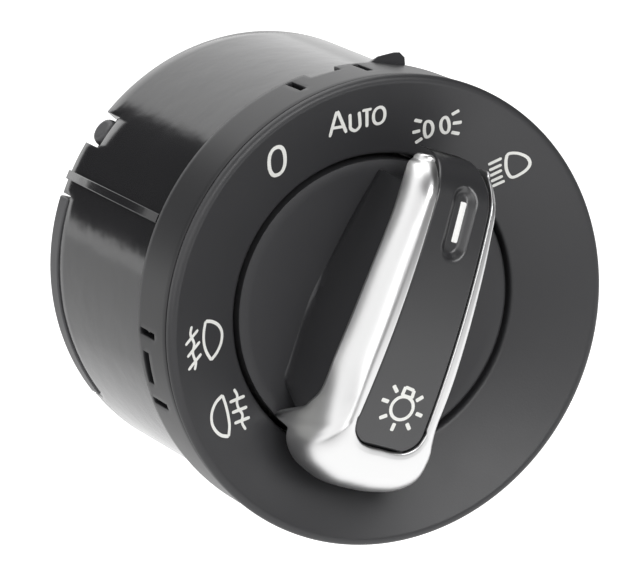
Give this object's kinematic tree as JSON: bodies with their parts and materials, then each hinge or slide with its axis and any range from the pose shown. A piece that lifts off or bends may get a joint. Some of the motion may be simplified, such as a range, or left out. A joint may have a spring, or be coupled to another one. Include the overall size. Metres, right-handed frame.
{
  "type": "headlight switch",
  "caption": "Round dash-mounted rotary headlight switch with a dished bezel, a pull-and-turn grip knob, snap latches and a rear connector socket.",
  "frame": {"origin": "on the switch's axis, in the plane of the mounting ring's rear edge, which seats on the front of the dash", "axes": "+Y runs along the axis from the driver into the dash, +Z is the switch's own up, +X is to the driver's right"},
  "size_m": [0.071, 0.0604, 0.071],
  "materials": {
    "bezel_black": "fine-grained matt black moulding",
    "ring_black": "satin black moulding",
    "housing_black": "glossy black moulding",
    "cover_black": "semi-gloss black moulding",
    "trim_chrome": "satin chrome plating on plastic",
    "diffuser_white": "white translucent",
    "guide_clear": "clear acrylic",
    "acetal": "natural acetal",
    "board": "green solder resist on glass-fibre laminate",
    "contact_metal": "tinned brass, stamped",
    "spring_steel": "drawn spring wire"
  },
  "bodies": {
    "root": {"bezel": "bezel_black", "mounting_ring": "ring_black", "housing": "housing_black", "rear_cover": "cover_black", "terminal_01": "contact_metal", "terminal_02": "contact_metal", "terminal_03": "contact_metal", "terminal_04": "contact_metal", "terminal_05": "contact_metal", "terminal_06": "contact_metal", "terminal_07": "contact_metal", "terminal_08": "contact_metal", "terminal_09": "contact_metal", "terminal_10": "contact_metal", "circuit_board": "board", "symbol_led_1": "diffuser_white", "symbol_led_2": "diffuser_white", "symbol_led_3": "diffuser_white", "symbol_led_4": "diffuser_white", "light_guide": "guide_clear", "detent_ring": "acetal", "latch_spring_upper": "spring_steel", "latch_spring_lower": "spring_steel", "fog_contact_card": "board", "knob_return_spring": "spring_steel"},
    "rotor_body": {"rotor": "acetal", "wiper_contact": "contact_metal", "detent_spring": "spring_steel"},
    "knob": {"knob_body": "bezel_black", "knob_trim": "trim_chrome", "knob_insert": "bezel_black", "pointer_window": "diffuser_white"},
    "plunger": {"detent_plunger": "spring_steel"},
    "release": {"release_ring": "acetal"},
    "upper_latch": {"latch_upper": "ring_black"},
    "lower_latch": {"latch_lower": "ring_black"},
    "fog": {"fog_slider": "acetal", "fog_wiper": "contact_metal"}
  },
  "joints": [
    {"name": "knob_turn", "type": "hinge", "parent": "root", "child": "rotor_body", "pos_m": [0, 0, 0], "axis": [0, 1, 0], "range_deg": [-55.4, 27.7]},
    {"name": "knob_pull", "type": "slide", "parent": "rotor_body", "child": "knob", "axis": [0, -1, 0], "range_m": [-0.0025, 0.006]},
    {"name": "detent_plunger_slide", "type": "slide", "parent": "rotor_body", "child": "plunger", "axis": [-0.6428, 0, -0.766], "range_m": [-0.0008, 0], "stiffness_N_per_m": 1500, "deforming": ["detent_spring"]},
    {"name": "release_turn", "type": "hinge", "parent": "root", "child": "release", "pos_m": [0, 0, 0], "axis": [0, 1, 0], "range_deg": [0, 6], "stiffness_Nm_per_rad": 0.37},
    {"name": "latch_upper_slide", "type": "slide", "parent": "root", "child": "upper_latch", "axis": [0.342, 0, 0.9397], "range_m": [-0.002, 0], "deforming": ["latch_spring_upper"]},
    {"name": "latch_lower_slide", "type": "slide", "parent": "root", "child": "lower_latch", "axis": [-0.4226, 0, -0.9063], "range_m": [-0.002, 0], "deforming": ["latch_spring_lower"]},
    {"name": "fog_slide", "type": "slide", "parent": "root", "child": "fog", "axis": [0, -1, 0], "range_m": [-0.0025, 0.006], "deforming": ["knob_return_spring"]}
  ],
  "couplings": [
    {"joint": "latch_upper_slide", "follows": "release_turn", "m_per_rad": -0.019099},
    {"joint": "latch_lower_slide", "follows": "release_turn", "m_per_rad": -0.019099},
    {"joint": "fog_slide", "follows": "knob_pull", "ratio": 1}
  ]
}
